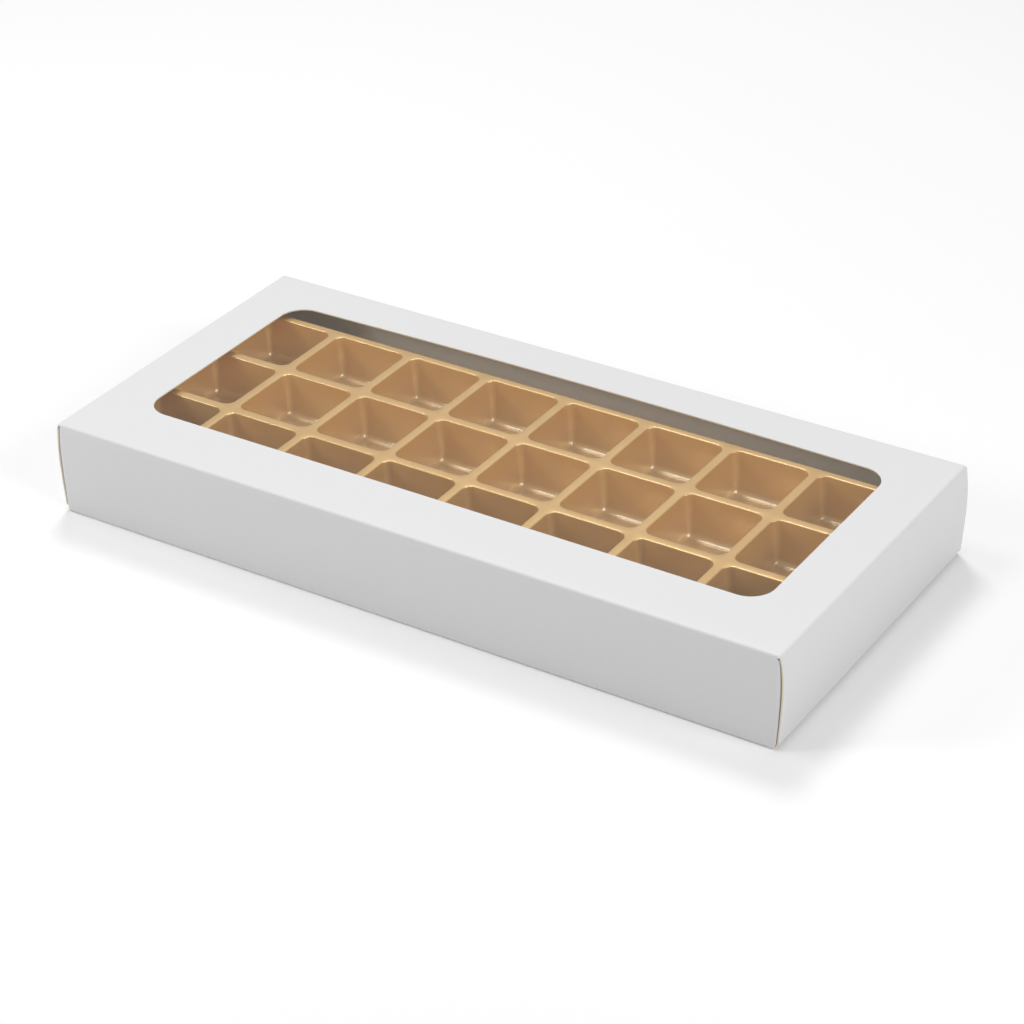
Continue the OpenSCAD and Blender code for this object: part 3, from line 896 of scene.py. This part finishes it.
def tray(sizes, materials):
    """The moulded tray: a deck with rolled rims round its cavities, a skirt and feet."""
    half_l, half_w = sizes.deck_length / 2, sizes.deck_width / 2
    pitch_x = (2 * half_l - sizes.rib) / sizes.columns
    pitch_y = (2 * half_w - sizes.rib) / sizes.rows
    mouth_x, mouth_y = (pitch_x - sizes.rib) / 2, (pitch_y - sizes.rib) / 2
    profile = cavity_profile(sizes)
    flat_l, flat_w = half_l - sizes.deck_edge, half_w - sizes.deck_edge
    corner = sizes.deck_corner - sizes.deck_edge
    points, faces = [], []
    border = {}

    def border_index(x, y):
        """Number of the deck point at a place, made once."""
        key = (round(x * 1e7), round(y * 1e7))
        if key not in border:
            border[key] = len(points)
            points.append((x, y, 0.0))
        return border[key]

    for column in range(sizes.columns):
        for row in range(sizes.rows):
            cx = (column - (sizes.columns - 1) / 2) * pitch_x
            cy = (row - (sizes.rows - 1) / 2) * pitch_y
            left = -flat_l - cx if column == 0 else -pitch_x / 2
            right = flat_l - cx if column == sizes.columns - 1 else pitch_x / 2
            front = -flat_w - cy if row == 0 else -pitch_y / 2
            back = flat_w - cy if row == sizes.rows - 1 else pitch_y / 2
            rounded = [(sx, sy) for sx in (-1, 1) for sy in (-1, 1)
                       if column == (0 if sx < 0 else sizes.columns - 1)
                       and row == (0 if sy < 0 else sizes.rows - 1)]
            grow = profile[0][0]
            _, outer = matched_loops(
                mouth_x + grow, mouth_y + grow, sizes.mouth_corner + grow,
                (left, right, front, back), CAVITY_STEPS, corner, rounded)
            ring = [border_index(cx + x, cy + y) for x, y in outer]
            cavity(points, faces, (cx, cy), (mouth_x, mouth_y), profile, sizes, ring)

    # the outer border of the deck, in order round its centre
    loop = []
    for (kx, ky), i in border.items():
        x, y = kx / 1e7, ky / 1e7
        on_side = abs(abs(x) - flat_l) < NEAR or abs(abs(y) - flat_w) < NEAR
        dx, dy = abs(x) - (flat_l - corner), abs(y) - (flat_w - corner)
        on_corner = dx > -NEAR and dy > -NEAR and abs(math.hypot(dx, dy) - corner) < NEAR
        if on_side or on_corner:
            loop.append((math.atan2(y * flat_l / flat_w, x), i, x, y))
    loop.sort()

    def outward(x, y):
        """Direction out of the deck at a point of its border."""
        nx = math.copysign(max(0.0, abs(x) - (flat_l - corner)), x)
        ny = math.copysign(max(0.0, abs(y) - (flat_w - corner)), y)
        size = math.hypot(nx, ny)
        return nx / size, ny / size

    normals = [outward(x, y) for _, _, x, y in loop]
    previous = [i for _, i, _, _ in loop]
    for reach, down in skirt_levels(sizes, TRAY_HIGH.z - TRAY_LOW.z):
        new = new_row(points, [
            (x + nx * reach, y + ny * reach, -down) for (_, _, x, y), (nx, ny) in zip(loop, normals)
        ])
        faces += ring_strip(previous, new)
        previous = new
    points = [(x, y - sizes.forward, z + TRAY_HIGH.z) for x, y, z in points]

    # the skirt's ends stop above the tuck flaps
    inside_x, over_z = TUCK_LOW.x - sizes.relief, TUCK_HIGH.z + sizes.relief
    array = np.array(points)
    middles = [array[list(face)].mean(axis=0) for face in faces]
    kept = [face[::-1] for face, middle in zip(faces, middles)
            if abs(middle[0]) <= inside_x or middle[2] >= over_z]
    piece = mesh_piece("gold_cavity_tray", points, kept, materials)
    loose = bmesh.new()
    loose.from_mesh(piece.data)
    bmesh.ops.delete(loose, geom=[v for v in loose.verts if not v.link_faces], context="VERTS")
    bmesh.ops.recalc_face_normals(loose, faces=loose.faces)
    loose.to_mesh(piece.data)
    loose.free()
    top = max(piece.data.polygons, key=lambda p: p.center.z)
    if top.normal.z < 0:
        piece.data.flip_normals()
    return thicken(piece, sizes.sheet, board=False)


# Operators


class CARTON_OT_stage(Operator):
    """Camera at the photograph's angle, soft studio light and a pale floor"""

    bl_idname = "carton.stage"
    bl_label = "Stage"

    def execute(self, context):
        scene = context.scene
        camera = bpy.data.objects.new("camera", bpy.data.cameras.new("camera"))
        scene.collection.objects.link(camera)
        camera.location = CAMERA_PLACE
        aim = Vector(CAMERA_AIM) - camera.location
        camera.rotation_mode = "QUATERNION"
        camera.rotation_quaternion = aim.to_track_quat("-Z", "Y") @ Quaternion(
            (0, 0, 1), CAMERA_ROLL
        )
        camera.data.sensor_width = 36.0
        camera.data.lens = CAMERA_LENS
        camera.data.clip_start, camera.data.clip_end = 0.01, 50.0
        scene.camera = camera
        scene.view_settings.view_transform = "Standard"

        world = bpy.data.worlds.new("studio")
        scene.world = world
        world.use_nodes = True
        tree = world.node_tree
        tree.nodes.clear()
        path = add_node(tree, "ShaderNodeLightPath")
        seen = add_node(
            tree, "ShaderNodeMath",
            {0: path.outputs["Is Camera Ray"], 1: path.outputs["Is Transmission Ray"]},
            operation="MAXIMUM",
        ).outputs["Value"]
        strength = add_node(
            tree, "ShaderNodeMapRange", {"Value": seen, "To Min": WORLD_LIGHT, "To Max": 1.0}
        ).outputs["Result"]
        light = add_node(
            tree, "ShaderNodeBackground", {"Color": (1, 1, 1, 1), "Strength": strength}
        )
        add_node(tree, "ShaderNodeOutputWorld", {"Surface": light.outputs["Background"]})

        for name, place_m, width, power in SOFTBOXES:
            lamp = bpy.data.lights.new(name, "AREA")
            lamp.shape = "SQUARE"
            lamp.size = width
            lamp.energy = power
            box = bpy.data.objects.new(name, lamp)
            scene.collection.objects.link(box)
            box.location = place_m
            box.rotation_mode = "QUATERNION"
            box.rotation_quaternion = (-Vector(place_m)).to_track_quat("-Z", "Y")

        bpy.ops.mesh.primitive_plane_add(size=12.0, location=(0, 0, 0))
        floor = context.active_object
        floor.name = "studio_floor"
        floor.data.materials.append(studio_floor(scene.carton_colours))
        return {"FINISHED"}


class CARTON_OT_sleeve(Operator):
    """Folded sleeve of the carton with its window"""

    bl_idname = "carton.sleeve"
    bl_label = "Sleeve"

    def execute(self, context):
        piece = sleeve(context.scene.carton_sizes, board_materials())
        finish_piece(piece, "carton", "board_face", "top_panel", "front_wall", "back_wall",
                     "bottom_panel", "glue_flap")
        return {"FINISHED"}


class CARTON_OT_window(Operator):
    """Clear film, its band of glue and the glue of the back seam"""

    bl_idname = "carton.window"
    bl_label = "Window and glue"

    def execute(self, context):
        sizes = context.scene.carton_sizes
        glue = shared_material(dried_glue)
        film = window_film(sizes, clear_pet_film(context.scene.carton_colours))
        finish_piece(film, "carton", "clear_film", "window_film")
        band = window_glue(sizes, glue)
        finish_piece(band, "carton", "glue", "film_glue")
        seam = frame["nodes"]["seam_glue"]
        seam.data.materials.clear()
        seam.data.materials.append(glue)
        return {"FINISHED"}


class CARTON_OT_closures(Operator):
    """End closures with their soft folds"""

    bl_idname = "carton.closures"
    bl_label = "End closures"

    def execute(self, context):
        for side in (-1, 1):
            closure(side, context.scene.carton_sizes, board_materials())
        return {"FINISHED"}


class CARTON_OT_tuck_flaps(Operator):
    """Tuck flaps with their soft folds"""

    bl_idname = "carton.tuck_flaps"
    bl_label = "Tuck flaps"

    def execute(self, context):
        for side in (-1, 1):
            tuck_flap(side, context.scene.carton_sizes, board_materials())
        return {"FINISHED"}


class CARTON_OT_dust_flaps(Operator):
    """Dust flaps with their folds"""

    bl_idname = "carton.dust_flaps"
    bl_label = "Dust flaps"

    def execute(self, context):
        for side in (-1, 1):
            for wall in (-1, 1):
                dust_flap(side, wall, context.scene.carton_sizes, board_materials())
        return {"FINISHED"}


class CARTON_OT_tray(Operator):
    """Moulded gold tray"""

    bl_idname = "carton.tray"
    bl_label = "Tray"

    def execute(self, context):
        sizes = context.scene.tray_sizes
        gold = gold_polystyrene(context.scene.carton_colours, TRAY_HIGH.z, sizes.depth)
        finish_piece(tray(sizes, [gold]), "tray", "gold_tray", *TRAY_NODES)
        return {"FINISHED"}


class CARTON_PT_sidebar(Panel):
    """Sizes, colours and pieces of the carton"""

    bl_idname = "CARTON_PT_sidebar"
    bl_label = "Carton"
    bl_space_type = "VIEW_3D"
    bl_region_type = "UI"
    bl_category = "Carton"

    def draw(self, context):
        for name, kind in GROUPS.items():
            box = self.layout.box()
            box.label(text=name.replace("_", " ").capitalize())
            for size in kind.__annotations__:
                box.prop(getattr(context.scene, name), size)
        for operator in OPERATORS:
            self.layout.operator(operator.bl_idname)


GROUPS = {"carton_sizes": CartonSizes, "tray_sizes": TraySizes, "carton_colours": CartonColours}
OPERATORS = (
    CARTON_OT_stage, CARTON_OT_sleeve, CARTON_OT_window, CARTON_OT_closures,
    CARTON_OT_tuck_flaps, CARTON_OT_dust_flaps, CARTON_OT_tray,
)


def register():
    """Registers the classes and gives the scene its sizes and colours."""
    for group in (*GROUPS.values(), *OPERATORS, CARTON_PT_sidebar):
        bpy.utils.register_class(group)
    for name, group in GROUPS.items():
        setattr(bpy.types.Scene, name, PointerProperty(type=group))


def unregister():
    """Takes away what register gives."""
    for name in GROUPS:
        delattr(bpy.types.Scene, name)
    for group in reversed((*GROUPS.values(), *OPERATORS, CARTON_PT_sidebar)):
        bpy.utils.unregister_class(group)


def main():
    """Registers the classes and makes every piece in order."""
    register()
    bpy.ops.carton.stage()
    bpy.ops.carton.sleeve()
    bpy.ops.carton.window()
    bpy.ops.carton.closures()
    bpy.ops.carton.tuck_flaps()
    bpy.ops.carton.dust_flaps()
    bpy.ops.carton.tray()


if __name__ == "__main__":
    main()
